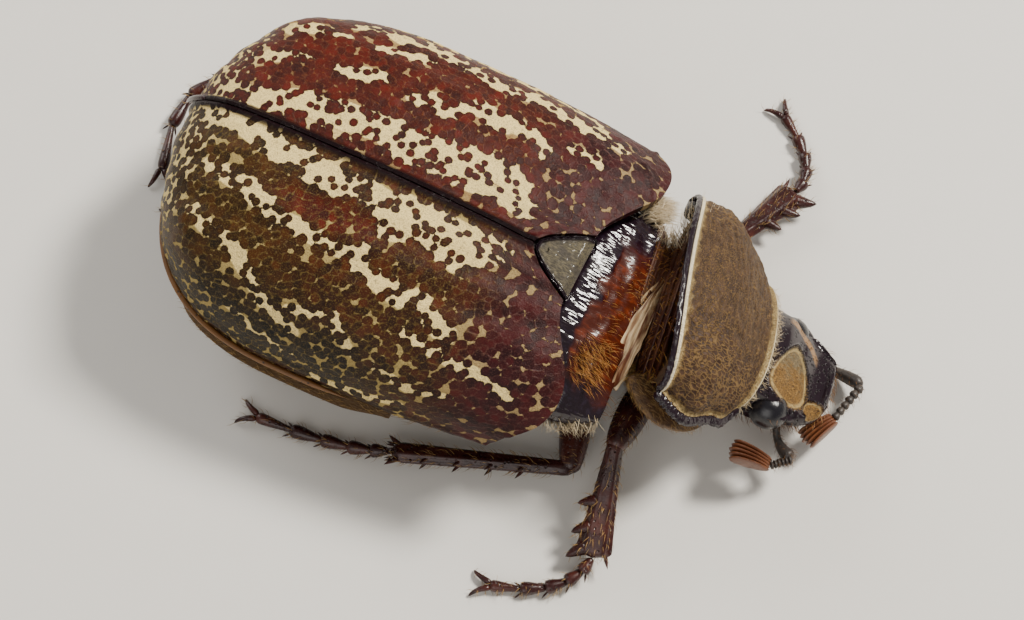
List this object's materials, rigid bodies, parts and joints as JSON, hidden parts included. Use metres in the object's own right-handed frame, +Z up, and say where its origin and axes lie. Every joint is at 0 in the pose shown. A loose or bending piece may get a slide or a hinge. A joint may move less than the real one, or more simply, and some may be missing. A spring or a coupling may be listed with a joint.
{
  "type": "scarab beetle",
  "caption": "Life-size still model of a large marbled chafer, a scarab beetle, with closed wing cases, its front body sunk forward and legs spread.",
  "frame": {"origin": "middle of the flat of the breast (metathorax) that rests on the floor", "axes": "+X towards the head, +Y to the beetle's left, +Z up from the floor"},
  "size_m": [0.0374, 0.0305, 0.0103],
  "materials": {
    "elytra": "satin chitin of the wing cases, maroon marbled with cream scales",
    "pronotum": "matt chitin of the pronotum under tan scales",
    "cuticle": "glossy purple-black chitin",
    "membrane": "rust-red neck membrane",
    "belly": "olive-brown hairy belly and flank plates",
    "eye": "polished black eye",
    "feeler": "red-brown feelers and mouthparts"
  },
  "bodies": {
    "root": {"elytron_left": "elytra", "elytron_right": "elytra", "pronotum": "pronotum", "scutellum": "cuticle", "metathorax": "cuticle", "mesothorax": "cuticle", "head": "cuticle", "leg_front_left_femur": "cuticle", "leg_front_left_tibia": "cuticle", "leg_front_left_tarsus": "cuticle", "leg_front_right_femur": "cuticle", "leg_front_right_tibia": "cuticle", "leg_front_right_tarsus": "cuticle", "leg_middle_left_femur": "cuticle", "leg_middle_left_tibia": "cuticle", "leg_middle_left_tarsus": "cuticle", "leg_middle_right_femur": "cuticle", "leg_middle_right_tibia": "cuticle", "leg_middle_right_tarsus": "cuticle", "leg_hind_left_femur": "cuticle", "leg_hind_left_tibia": "cuticle", "leg_hind_left_tarsus": "cuticle", "leg_hind_right_femur": "cuticle", "leg_hind_right_tibia": "cuticle", "leg_hind_right_tarsus": "cuticle", "neck": "membrane", "abdomen": "belly", "pygidium": "belly", "prosternum": "belly", "eye_left": "eye", "eye_right": "eye", "mouthparts": "feeler", "palp_left": "feeler", "palp_right": "feeler", "antenna_left_stem": "feeler", "antenna_left_club": "feeler", "antenna_right_stem": "feeler", "antenna_right_club": "feeler"}
  },
  "joints": []
}
